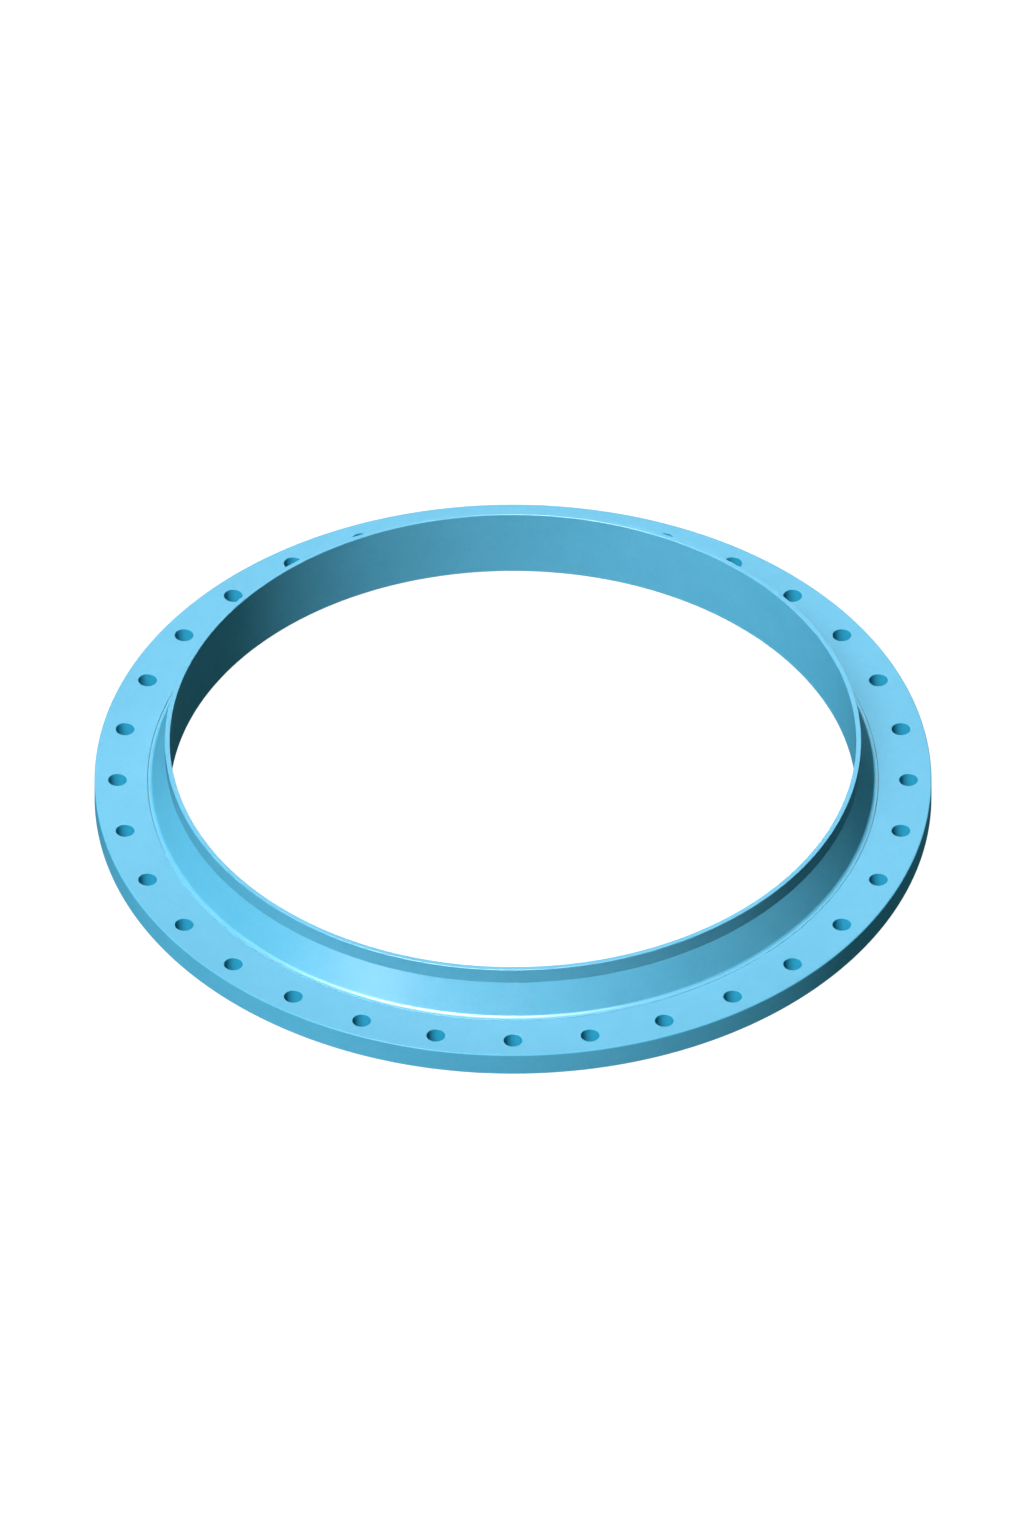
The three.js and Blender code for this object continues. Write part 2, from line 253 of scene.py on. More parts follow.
# The two colours that each material drifts between.
PAINT_COLOURS = (0.106, 0.567, 0.878, 1), (0.122, 0.613, 0.937, 1)
GROUND_STEEL_COLOURS = (0.33, 0.335, 0.345, 1), (0.55, 0.555, 0.565, 1)
BALL_STEEL_COLOURS = (0.62, 0.63, 0.65, 1), (0.72, 0.70, 0.65, 1)
PIN_STEEL_COLOURS = (0.30, 0.30, 0.31, 1), (0.46, 0.45, 0.44, 1)
POLYAMIDE_COLOURS = (0.70, 0.64, 0.50, 1), (0.80, 0.75, 0.62, 1)
RUBBER_COLOURS = (0.012, 0.012, 0.013, 1), (0.035, 0.035, 0.037, 1)
BRASS_COLOURS = (0.62, 0.42, 0.13, 1), (0.33, 0.22, 0.08, 1)

# Pale dust on the paint. It also lightens faces that point up, as a painted sheen.
PAINT_DUST_AND_SHEEN = (0.60, 0.80, 0.95, 1)
STEEL_STAIN = (0.24, 0.21, 0.18, 1)
BLACK = (0, 0, 0, 1)
WHITE = (1, 1, 1, 1)

# What the paint's colour is multiplied by in the bolt holes: painted shade, darker and bluer there.
PAINTED_SHADE_IN_HOLES = (0.25, 0.84, 0.9, 1)

# Share of its colour with which the paint lights what is round it, outside and in the bolt holes. Real
# paint would have 1. Less of it keeps the shaded sides dark.
OPEN_BOUNCE = 0.05
HOLE_BOUNCE = 0.3

# ---------------------------------------------------------------- view and light, in metres

VIEW_ELEVATION = math.radians(41.2)
VIEW_HEIGHT = 1.835
CAMERA_DISTANCE = 4
CAMERA_REACH = 20

# How far the middle of the view lies to the right of the slewing axis and above the flange's top.
VIEW_RIGHT = -0.0012
VIEW_UP = 0.014

# The dome's colour, its strength above and below the horizon, and the band in which that changes,
# as heights on a dome of radius 1.
DOME_COLOUR = (0.55, 1, 0.9, 1)
DOME_ABOVE = 0.12
DOME_BELOW = 0.045
HORIZON_LOW = -0.1
HORIZON_HIGH = 0.15

FLOOR_SIZE = 14
FLOOR_GREY = (0.42, 0.42, 0.42, 1)
FLOOR_GLOW = 0.72

# Suns: where each stands and how wide its disc is, in degrees, and its strength.
KEY = {"azimuth": 232, "elevation": 53, "spread": 6, "strength": 2.7}
KEY_SOFT = {"azimuth": 232, "elevation": 53, "spread": 24, "strength": 0.68}
SHEEN_HIGH = {"azimuth": 248, "elevation": 52, "spread": 50, "strength": 20}
SHEEN_LOW = {"azimuth": 229, "elevation": 8, "spread": 16, "strength": 1.6}
UNDER_FILL = {"azimuth": 0, "elevation": -90, "spread": 20, "strength": 1.2}
REAR_FILL = {"azimuth": 80, "elevation": 6, "spread": 30, "strength": 1.1}

# ---------------------------------------------------------------- the frame's bodies

record = frame["record"]
BODY_OF = {node: body for body, nodes in record["behaviour"]["bodies"].items() for node in nodes}

# ---------------------------------------------------------------- outlines


def polar(radius, azimuth, height):
    return Vector((radius * math.cos(azimuth), radius * math.sin(azimuth), height))


def arc_between(centre, start, end, steps):
    """Points on the shorter arc round centre from start to end, both included."""
    first, last = start - centre, end - centre
    sweep = first.angle(last)
    points = []
    for i in range(steps + 1):
        share = i / steps
        weights = math.sin((1 - share) * sweep), math.sin(share * sweep)
        points.append(centre + (first * weights[0] + last * weights[1]) / math.sin(sweep))
    return points


def rounded_corner(before, corner, after, rounding):
    """The arc that takes the place of one corner of an outline."""
    back = (before - corner).normalized()
    ahead = (after - corner).normalized()
    half = back.angle(ahead) / 2
    reach = rounding / math.tan(half)
    centre = corner + (back + ahead).normalized() * (rounding / math.sin(half))
    steps = max(1, math.ceil((math.pi - 2 * half) / ARC_STEP))
    return arc_between(centre, corner + back * reach, corner + ahead * reach, steps)


def rounded(corners):
    """Outline points for corners given as (radius, height) or (radius, height, rounding).

    The two ends of the outline stay as given.
    """
    spots = [Vector(corner[:2]) for corner in corners]
    outline = [spots[0]]
    for i in range(1, len(corners) - 1):
        if len(corners[i]) == 3:
            outline += rounded_corner(spots[i - 1], spots[i], spots[i + 1], corners[i][2])
        else:
            outline.append(spots[i])
    outline.append(spots[-1])
    return outline


def rounded_loop(corners):
    """Like rounded, for an outline that closes on itself."""
    outline = rounded([corners[-1][:2], *corners, corners[0][:2]])
    return outline[1:-1]


def raceway(side):
    """Outline of a ball groove, from the lower land to the upper one.

    side is -1 for the groove in the inner ring and 1 for the one in the outer ring.
    """
    half = math.acos(RING_GAP / 2 / RACEWAY_RADIUS)
    angles = [half * (2 * i / RACEWAY_STEPS - 1) for i in range(RACEWAY_STEPS + 1)]
    return [
        (BALL_PITCH + side * RACEWAY_RADIUS * math.cos(a), BALL_HEIGHT + RACEWAY_RADIUS * math.sin(a))
        for a in angles
    ]


# ---------------------------------------------------------------- meshes and objects


@contextmanager
def editing(mesh):
    """The faces of a mesh as a bmesh, written back to the mesh at the end."""
    edit = bmesh.new()
    edit.from_mesh(mesh)
    yield edit
    edit.to_mesh(mesh)
    edit.free()


def add_object(name, data):
    thing = bpy.data.objects.new(name, data)
    bpy.context.scene.collection.objects.link(thing)
    return thing


class Draft:
    """Points and faces in millimetres, gathered row by row before they become one mesh."""

    def __init__(self):
        self.points = []
        self.faces = []

    def row(self, points):
        first = len(self.points)
        self.points.extend(points)
        return list(range(first, len(self.points)))

    def bridge(self, row_a, row_b, closed=True):
        """Quads between two rows of equal length."""
        count = len(row_a) if closed else len(row_a) - 1
        for i in range(count):
            j = (i + 1) % len(row_a)
            self.faces.append((row_a[i], row_a[j], row_b[j], row_b[i]))

    def bridge_all(self, rows):
        for row_a, row_b in zip(rows, rows[1:]):
            self.bridge(row_a, row_b)

    def cap(self, row, tip):
        """Closes a row with triangles that meet in one point."""
        centre = self.row([tip])[0]
        for i in range(len(row)):
            self.faces.append((row[i], row[(i + 1) % len(row)], centre))

    def turned_rows(self, outline, sides=RING_SEGMENTS):
        """One row of points round the Z axis for each point of an outline."""
        step = FULL_TURN / sides
        return [self.row([polar(r, i * step, z) for i in range(sides)]) for r, z in outline]

    def to_object(self, name, materials, finish_at=None, placing=Matrix.Identity(4)):
        """A Blender object. finish_at(radius, height) picks a face's material by its middle."""
        mesh = bpy.data.meshes.new(name)
        mesh.from_pydata([placing @ point * MM for point in self.points], [], self.faces)
        for material in materials:
            mesh.materials.append(material)
        with editing(mesh) as edit:
            bmesh.ops.recalc_face_normals(edit, faces=edit.faces)
            for face in edit.faces:
                face.smooth = True
                if finish_at:
                    middle = face.calc_center_median() / MM
                    face.material_index = finish_at(middle.xy.length, middle.z)
        mesh.set_sharp_from_angle(angle=SHARP_ANGLE)
        return add_object(name, mesh)


def install(piece, node):
    """Puts a piece in the place of a CAD node, on that node's body, and hides the node."""
    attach(piece, BODY_OF[node])
    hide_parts(node)


def add_modifier(piece, kind, **settings):
    modifier = piece.modifiers.new(kind.lower(), kind)
    for key, value in settings.items():
        setattr(modifier, key, value)


def apply_modifiers(piece):
    graph = bpy.context.evaluated_depsgraph_get()
    done = bpy.data.meshes.new_from_object(piece.evaluated_get(graph))
    piece.modifiers.clear()
    piece.data = done


def cut_away(piece, cutters):
    """Takes the cutters' shapes out of a piece, then deletes them."""
    for cutter in cutters:
        add_modifier(piece, "BOOLEAN", object=cutter, operation="DIFFERENCE", solver="MANIFOLD")
    apply_modifiers(piece)
    for cutter in cutters:
        bpy.data.objects.remove(cutter)
    with editing(piece.data) as edit:
        bmesh.ops.dissolve_degenerate(edit, dist=CUT_TOLERANCE * MM, edges=edit.edges)
    piece.data.set_sharp_from_angle(angle=SHARP_ANGLE)


def even_shading(piece):
    """Keeps broad flat faces flat-looking beside their rounded edges."""
    add_modifier(piece, "WEIGHTED_NORMAL", keep_sharp=True, weight=FLAT_FACE_WEIGHT)


# ---------------------------------------------------------------- holes in step with patches of quads


def patch_angles(columns, rows):
    """Angles round a hole, one for each point on the edge of a patch of columns by rows quads.

    They start at the patch's first corner, and the middle of its first side is straight down.
    """
    count = 2 * (columns + rows)
    return [FULL_TURN * (i - columns / 2) / count - QUARTER_TURN for i in range(count)]


def hole_circle(azimuth, circle_radius, radius, height, columns):
    """Points round an upright hole, in step with the edge of a patch of columns by FACE_ROWS quads."""
    outward = polar(1, azimuth, 0)
    along = polar(1, azimuth + QUARTER_TURN, 0)
    centre = polar(circle_radius, azimuth, height)
    return [
        centre + (along * math.cos(angle) + outward * math.sin(angle)) * radius
        for angle in patch_angles(columns, FACE_ROWS)
    ]


def hole_wall(draft, azimuth, circle_radius, outline, columns):
    """One row of points round an upright hole for each point of its wall's outline."""
    return [
        draft.row(hole_circle(azimuth, circle_radius, radius, height, columns))
        for radius, height in outline
    ]


def holed_face(draft, inner_row, outer_row, first_column, count, circle_radius, rim_radius, margin):
    """A flat ring with evenly spaced round holes. Gives back the edge row of each hole.

    The ring is split into one patch per hole. Each patch runs from its four-sided edge, through a circle
    that stands margin outside the hole, to the hole's own edge.
    """
    columns = len(inner_row) // count
    height = draft.points[inner_row[0]].z
    sides = []
    for s in range(count):
        column = (first_column + s * columns) % len(inner_row)
        start, end = draft.points[inner_row[column]], draft.points[outer_row[column]]
        sides.append(draft.row([start.lerp(end, k / FACE_ROWS) for k in range(1, FACE_ROWS)]))
    rims = []
    for s in range(count):
        places = [(first_column + s * columns + i) % len(inner_row) for i in range(columns + 1)]
        edge = [inner_row[p] for p in places] + sides[(s + 1) % count]
        edge += [outer_row[p] for p in reversed(places)] + sides[s][::-1]
        azimuth = FULL_TURN * (first_column + (s + 0.5) * columns) / len(inner_row)
        outer = hole_circle(azimuth, circle_radius, rim_radius + margin, height, columns)
        middle = [draft.points[e].lerp(o, 0.5) for e, o in zip(edge, outer)]
        rim = draft.row(hole_circle(azimuth, circle_radius, rim_radius, height, columns))
        draft.bridge_all([edge, draft.row(middle), draft.row(outer), rim])
        rims.append(rim)
    return rims


# ---------------------------------------------------------------- materials


class Nodes:
    """A small writer for the node tree of a material or a world."""

    def __init__(self, owner):
        owner.use_nodes = True
        self.owner = owner
        self.tree = owner.node_tree
        self.coordinates = self.add("ShaderNodeTexCoord").outputs

    def add(self, kind, inputs=None, **settings):
        """A new node. inputs maps its sockets, by name or place, to values or other nodes' outputs."""
        node = self.tree.nodes.new(kind)
        for key, value in settings.items():
            setattr(node, key, value)
        for key, value in (inputs or {}).items():
            self.feed(node.inputs[key], value)
        return node

    def feed(self, socket, value):
        if isinstance(value, bpy.types.NodeSocket):
            self.tree.links.new(value, socket)
        else:
            socket.default_value = value

    def math(self, operation, a, b):
        return self.add("ShaderNodeMath", {0: a, 1: b}, operation=operation).outputs[0]

    def height(self, vector):
        """The Z part of a vector."""
        return self.add("ShaderNodeSeparateXYZ", {"Vector": vector}).outputs["Z"]

    def noise(self, scale, detail, roughness=0.5, at=None):
        """Noise with about scale patches to the metre."""
        place = at or self.coordinates["Object"]
        inputs = {"Vector": place, "Scale": scale, "Detail": detail, "Roughness": roughness}
        return self.add("ShaderNodeTexNoise", inputs).outputs["Fac"]

    def ramp(self, value, low, high, start=0.3, end=0.7):
        """Goes from low to high as value goes from start to end, and stays level outside them."""
        inputs = {"Value": value, "From Min": start, "From Max": end, "To Min": low, "To Max": high}
        return self.add("ShaderNodeMapRange", inputs).outputs[0]

    def mix(self, share, colour_a, colour_b, blend="MIX"):
        # A mix node has sockets for every kind of value. Inputs 6 and 7 and output 2 are for colours.
        node = self.add("ShaderNodeMix", data_type="RGBA", blend_type=blend)
        self.feed(node.inputs[0], share)
        self.feed(node.inputs[6], colour_a)
        self.feed(node.inputs[7], colour_b)
        return node.outputs[2]

    def either(self, share, shader_a, shader_b):
        return self.add("ShaderNodeMixShader", {0: share, 1: shader_a, 2: shader_b}).outputs[0]

    def bump(self, height, distance, strength, over=None):
        """Raises the surface by height times distance, in metres, on top of the bump over."""
        inputs = {"Height": height, "Distance": distance, "Strength": strength}
        if over is not None:
            inputs["Normal"] = over
        return self.add("ShaderNodeBump", inputs).outputs["Normal"]

    def round_the_axis(self, stretch):
        """Coordinates of radius, azimuth and height, for marks that run round the slewing axis.

        The smaller stretch is, the longer the marks are.
        """
        parts = self.add("ShaderNodeSeparateXYZ", {"Vector": self.coordinates["Object"]}).outputs
        flat = self.add("ShaderNodeCombineXYZ", {"X": parts["X"], "Y": parts["Y"]}).outputs[0]
        radius = self.add("ShaderNodeVectorMath", {0: flat}, operation="LENGTH").outputs["Value"]
        azimuth = self.math("MULTIPLY", self.math("ARCTAN2", parts["Y"], parts["X"]), stretch)
        place = {"X": radius, "Y": azimuth, "Z": parts["Z"]}
        return self.add("ShaderNodeCombineXYZ", place).outputs[0]

    def principled(self, **inputs):
        """Sets inputs of a material's Principled BSDF, and gives back the material."""
        shader = self.tree.nodes["Principled BSDF"]
        for key, value in inputs.items():
            self.feed(shader.inputs[key.replace("_", " ")], value)
        return self.owner

    def surface(self, shader):
        """Makes a shader the whole look of the material or world."""
        output = next(node for node in self.tree.nodes if "Surface" in node.inputs)
        self.feed(output.inputs["Surface"], shader)


def new_material(name):
    return Nodes(bpy.data.materials.new(name))


def paint_material(name, bounce, shade):
    """Light blue semi-gloss enamel: faint shade drift, orange peel, turning lines, fine dust, painted
    top sheen.

    bounce is the share of its colour that lights what is round it; shade multiplies the colour, as
    painted shade.
    """
    n = new_material(name)
    broad = n.math("MULTIPLY", n.noise(scale=5.0, detail=4.0), 0.6)
    patchy = n.math("MULTIPLY", n.noise(scale=32.0, detail=5.0, roughness=0.6), 0.4)
    drift = n.ramp(n.math("ADD", broad, patchy), 0.0, 1.0, start=0.38, end=0.62)
    colour = n.mix(drift, *PAINT_COLOURS)

    fine = n.ramp(n.noise(scale=160.0, detail=5.0, roughness=0.65), 0.0, 0.05, start=0.35, end=0.65)
    specks = n.ramp(n.noise(scale=900.0, detail=3.0), 0.0, 0.14, start=0.58, end=0.74)
    normal = n.add("ShaderNodeNewGeometry").outputs["Normal"]
    # Faces that point up go towards the pale colour: partly settled dust, partly a painted sheen. dust
    # adds this to the fine dust and specks.
    top_sheen_and_dust = n.ramp(n.height(normal), 0.0, 0.15, start=0.8, end=0.99)
    dust = n.math("ADD", n.math("ADD", fine, specks), top_sheen_and_dust)
    colour = n.mix(dust, colour, PAINT_DUST_AND_SHEEN)
    # Painted shade: shade multiplies the colour, and for the bolt holes' copy it is darker and bluer.
    colour = n.mix(1.0, colour, shade, "MULTIPLY")
    seen = n.add("ShaderNodeLightPath").outputs["Is Camera Ray"]
    colour = n.mix(n.ramp(seen, bounce, 1.0, start=0.0, end=1.0), BLACK, colour)

    peel = n.bump(n.noise(scale=420.0, detail=2.0, roughness=0.45), 0.00022, 0.7)
    turning = n.noise(scale=900.0, detail=2.0, roughness=0.6, at=n.round_the_axis(0.004))
    grain = n.bump(turning, 0.0001, 0.4, over=peel)
    rough = n.ramp(n.noise(scale=38.0, detail=4.0, roughness=0.6), 0.37, 0.44)
    facing = n.add("ShaderNodeLayerWeight", {"Blend": 0.5}).outputs["Facing"]
    gloss = n.ramp(facing, 0.5, 0.08)
    return n.principled(Base_Color=colour, Roughness=rough, Normal=grain, Specular_IOR_Level=gloss)


def ground_steel_material():
    """Bare ground and hardened steel, with grinding lines that run round the ring."""
    n = new_material("ground_steel")
    lines = n.noise(scale=2600.0, detail=3.0, roughness=0.7, at=n.round_the_axis(0.002))
    colour = n.mix(n.ramp(lines, 0.0, 1.0), *GROUND_STEEL_COLOURS)
    stain = n.ramp(n.noise(scale=24.0, detail=4.0), 0.0, 0.25, start=0.5, end=0.8)
    colour = n.mix(stain, colour, STEEL_STAIN)
    rough = n.ramp(lines, 0.22, 0.42)
    grain = n.bump(lines, 0.00002, 0.5)
    return n.principled(Base_Color=colour, Metallic=1.0, Roughness=rough, Normal=grain)


def ball_material():
    """Lapped bearing steel, nearly a mirror, with hair-fine rolling marks."""
    n = new_material("ball_steel")
    marks = n.noise(scale=3200.0, detail=6.0, roughness=0.8)
    film = n.ramp(n.noise(scale=60.0, detail=3.0), 0.0, 1.0)
    colour = n.mix(film, *BALL_STEEL_COLOURS)
    rough = n.ramp(marks, 0.06, 0.2)
    grain = n.bump(marks, 0.000005, 0.4)
    return n.principled(Base_Color=colour, Metallic=1.0, Roughness=rough, Normal=grain)


def pin_material():
    """Ground silver steel with fine marks and a slight brown tint from handling."""
    n = new_material("pin_steel")
    marks = n.noise(scale=1800.0, detail=3.0, roughness=0.7)
    colour = n.mix(n.ramp(marks, 0.0, 1.0), *PIN_STEEL_COLOURS)
    rough = n.ramp(marks, 0.3, 0.5)
    grain = n.bump(marks, 0.00002, 0.5)
    return n.principled(Base_Color=colour, Metallic=1.0, Roughness=rough, Normal=grain)


def polyamide_material():
    """Natural moulded nylon: waxy, slightly see-through, with flow marks."""
    n = new_material("polyamide")
    flow = n.ramp(n.noise(scale=70.0, detail=5.0, roughness=0.6), 0.0, 1.0)
    colour = n.mix(flow, *POLYAMIDE_COLOURS)
    skin = n.noise(scale=1500.0, detail=3.0, roughness=0.6)
    rough = n.ramp(skin, 0.42, 0.6)
    grain = n.bump(skin, 0.00003, 0.5)
    return n.principled(
        Base_Color=colour, Roughness=rough, Normal=grain, Subsurface_Weight=0.15, Subsurface_Scale=0.002
    )


def rubber_material():
    """Black nitrile rubber with a fine moulded grain and a bloom of paler dust."""
    n = new_material("nitrile_rubber")
    bloom = n.ramp(n.noise(scale=90.0, detail=5.0, roughness=0.6), 0.0, 1.0, start=0.4, end=0.75)
    colour = n.mix(bloom, *RUBBER_COLOURS)
    skin = n.noise(scale=2400.0, detail=4.0, roughness=0.7)
    rough = n.ramp(skin, 0.6, 0.85)
    grain = n.bump(skin, 0.00004, 0.8)
    return n.principled(Base_Color=colour, Roughness=rough, Normal=grain, Specular_IOR_Level=0.35)


def brass_material():
    """Turned brass, dulled in patches."""
    n = new_material("brass")
    tarnish = n.ramp(n.noise(scale=260.0, detail=4.0, roughness=0.6), 0.0, 1.0, start=0.45, end=0.75)
    colour = n.mix(tarnish, *BRASS_COLOURS)
    rough = n.ramp(tarnish, 0.22, 0.5, start=0.0, end=1.0)
    grain = n.bump(n.noise(scale=3000.0, detail=2.0, roughness=0.6), 0.00002, 0.5)
    return n.principled(Base_Color=colour, Metallic=1.0, Roughness=rough, Normal=grain)


paint = paint_material("light_blue_paint", OPEN_BOUNCE, WHITE)
# The bolt holes' copy of the paint carries painted shade: darker and bluer than the paint outside.
paint_with_painted_shade = paint_material("bolt_holes_painted_shade", HOLE_BOUNCE, PAINTED_SHADE_IN_HOLES)
ground_steel = ground_steel_material()
ball_steel = ball_material()
pin_steel = pin_material()
polyamide = polyamide_material()
rubber = rubber_material()
brass = brass_material()

# The places of the rings' materials in their material lists.
PAINT, STEEL, SHADED_PAINT_IN_HOLES = range(3)

# ---------------------------------------------------------------- small turned parts and their places


def radial_placing(azimuth, radius):
    """Places a part drafted along its own Z axis so that it points away from the slewing axis."""
    outward = polar(1, azimuth, 0)
    along = polar(1, azimuth + QUARTER_TURN, 0)
    turn = Matrix((along, Vector((0, 0, 1)), outward)).transposed().to_4x4()
    return Matrix.Translation(polar(radius, azimuth, BALL_HEIGHT)) @ turn


def upright_placing(azimuth, radius):
    return Matrix.Translation(polar(radius, azimuth, 0))


def turned_part(name, outline, materials, placing):
    """A solid of revolution drafted about its own Z axis. The outline starts and ends on that axis."""
    draft = Draft()
    rows = draft.turned_rows(outline[1:-1], SMALL_SIDES)
    draft.bridge_all(rows)
    draft.cap(rows[0], Vector((0, 0, outline[0][1])))
    draft.cap(rows[-1], Vector((0, 0, outline[-1][1])))
    return draft.to_object(name, materials, placing=placing)


def cutter(outline, placing):
    return turned_part("cutter", outline, [paint], placing)


def rim_bore_cutter(azimuth, radius, near):
    """Cuts a round bore with a chamfered mouth into the rim, as deep as radius near."""
    mouth = OUTER_RADIUS + MOUTH_CHAMFER
    outline = [
        (0, near),
        (radius, near),
        (radius, OUTER_RADIUS - MOUTH_CHAMFER),
        (radius + 2 * MOUTH_CHAMFER, mouth),
        (0, mouth),
    ]
    return cutter(outline, radial_placing(azimuth, 0))


def grease_channel_cutter(azimuth):
    """Cuts the channel that leads from a grease nipple's pocket to the balls."""
    far = GREASE_SEAT + OVERSHOOT
    radius = GREASE_CHANNEL_RADIUS
    outline = [(0, BALL_PITCH), (radius, BALL_PITCH), (radius, far), (0, far)]
    return cutter(outline, radial_placing(azimuth, 0))


def pin_hole_cutter():
    """Cuts the taper pin's hole, from its chamfered mouth in the bottom face up to its drill point."""
    outline = [
        (0, -OVERSHOOT),
        (PIN_HOLE_RADIUS + MOUTH_CHAMFER + OVERSHOOT, -OVERSHOOT),
        (PIN_HOLE_RADIUS, MOUTH_CHAMFER),
        (PIN_HOLE_RADIUS, PIN_HOLE_TOP),
        (0, PIN_HOLE_TIP),
    ]
    return cutter(outline, upright_placing(PLUG_AZIMUTH, PIN_CIRCLE))


# ---------------------------------------------------------------- outer ring


def outer_ring_finish(radius, height):
    """Ground steel from the seal seats to the raceway, and paint with painted shade in the bolt holes.
    """
    if radius < SEAT_RADIUS + TOUCH and PAINT_INTO_GAP < height < COVER_LIP_UNDERSIDE + TOUCH:
        return STEEL
    # The bolt holes' walls get the copy of the paint with painted shade.
    near_hole = abs(radius - BOLT_CIRCLE) < BOLT_HOLE_RADIUS + HOLE_TOUCH
    if near_hole and PAINT_INTO_HOLE < height < FLANGE_TOP - PAINT_INTO_HOLE:
        return SHADED_PAINT_IN_HOLES
    return PAINT


def build_outer_ring():
    """The flange, with its bolt holes, the outer raceway and the seats of both seals."""
    draft = Draft()
    rim = draft.turned_rows(rounded([
        (BOLT_FACE_OUTER, FLANGE_TOP),
        (OUTER_RADIUS, FLANGE_TOP, RIM_ROUNDING),
        (OUTER_RADIUS, 0, RIM_ROUNDING),
        (BOLT_FACE_OUTER, 0),
    ]))
    inside = draft.turned_rows(rounded([
        (BOLT_FACE_INNER, 0),
        (SEAT_RADIUS, 0, SEAT_MOUTH_ROUNDING),
        (SEAT_RADIUS, SEAT_DEPTH, SEAT_ROUNDING),
        (OUTER_LAND, SEAT_DEPTH, SEAT_ROUNDING),
        *raceway(1),
        (OUTER_LAND, FLANGE_TOP - SEAT_DEPTH, SEAT_ROUNDING),
        (SEAT_RADIUS, FLANGE_TOP - SEAT_DEPTH, SEAT_ROUNDING),
        (SEAT_RADIUS, COVER_LIP_UNDERSIDE, SEAT_ROUNDING),
        (COVER_LIP_RADIUS, COVER_LIP_UNDERSIDE, SEAM_ROUNDING),
        (COVER_LIP_RADIUS, FLANGE_TOP, SEAT_ROUNDING),
        (BOLT_FACE_INNER, FLANGE_TOP),
    ]))
    draft.bridge_all(rim)
    draft.bridge_all(inside)

    columns = RING_SEGMENTS // BOLT_COUNT
    holes = (-columns // 2, BOLT_COUNT, BOLT_CIRCLE, BOLT_RIM_RADIUS, BOLT_PATCH_MARGIN)
    top_rims = holed_face(draft, inside[-1], rim[0], *holes)
    bottom_rims = holed_face(draft, inside[0], rim[-1], *holes)
    wall = rounded([
        (BOLT_RIM_RADIUS, FLANGE_TOP),
        (BOLT_HOLE_RADIUS, FLANGE_TOP, BOLT_EDGE_ROUNDING),
        (BOLT_HOLE_RADIUS, FLANGE_TOP - BOLT_WALL_INSET),
        (BOLT_HOLE_RADIUS, BOLT_WALL_INSET),
        (BOLT_HOLE_RADIUS, 0, BOLT_EDGE_ROUNDING),
        (BOLT_RIM_RADIUS, 0),
    ])
    # The first and last two points of the wall's outline lie in the flat faces, beside the rims.
    inner_wall = wall[2:-2]
    for i in range(BOLT_COUNT):
        rows = hole_wall(draft, i * BOLT_STEP, BOLT_CIRCLE, inner_wall, columns)
        draft.bridge_all([top_rims[i], *rows, bottom_rims[i]])

    ring = draft.to_object("outer_ring_fine", [paint, ground_steel, paint_with_painted_shade], outer_ring_finish)
    grease_azimuths = GREASE_AZIMUTHS.values()
    cut_away(ring, [
        rim_bore_cutter(PLUG_AZIMUTH, PLUG_BORE_RADIUS, BALL_PITCH),
        *[rim_bore_cutter(azimuth, GREASE_POCKET_RADIUS, GREASE_SEAT) for azimuth in grease_azimuths],
        *[grease_channel_cutter(azimuth) for azimuth in grease_azimuths],
        pin_hole_cutter(),
    ])
    even_shading(ring)
    install(ring, "outer_ring")


# ---------------------------------------------------------------- inner ring


def inner_ring_finish(radius, height):
    """Ground steel on the raceway and its lands and in the tapped holes."""
    beside_gap = radius > INNER_LAND - RACEWAY_RADIUS
    if beside_gap and INNER_BOTTOM + PAINT_INTO_GAP < height < SHOULDER_HEIGHT + STEEL_UP_SEAM:
        return STEEL
    near_hole = abs(radius - TAPPED_CIRCLE) < COUNTERSINK_RADIUS + HOLE_TOUCH
    if near_hole and INNER_BOTTOM + TOUCH < height < TAPPED_FLOOR + DRILL_POINT:
        return STEEL
    return PAINT


def tapped_hole_wall():
    """Outline of a tapped hole's wall: the end of the countersink, the thread and a plain stretch."""
    outline = [(THREAD_MINOR, INNER_BOTTOM + COUNTERSINK_DEPTH)]
    for turn in range(THREAD_TURNS):
        crest = THREAD_START + turn * THREAD_PITCH
        outline.append((THREAD_MINOR, crest))
        outline += [(THREAD_MAJOR, crest + share * THREAD_PITCH) for share in THREAD_GROOVE]
    outline.append((THREAD_MINOR, THREAD_START + THREAD_TURNS * THREAD_PITCH))
    outline.append((THREAD_MINOR, TAPPED_FLOOR))
    return outline


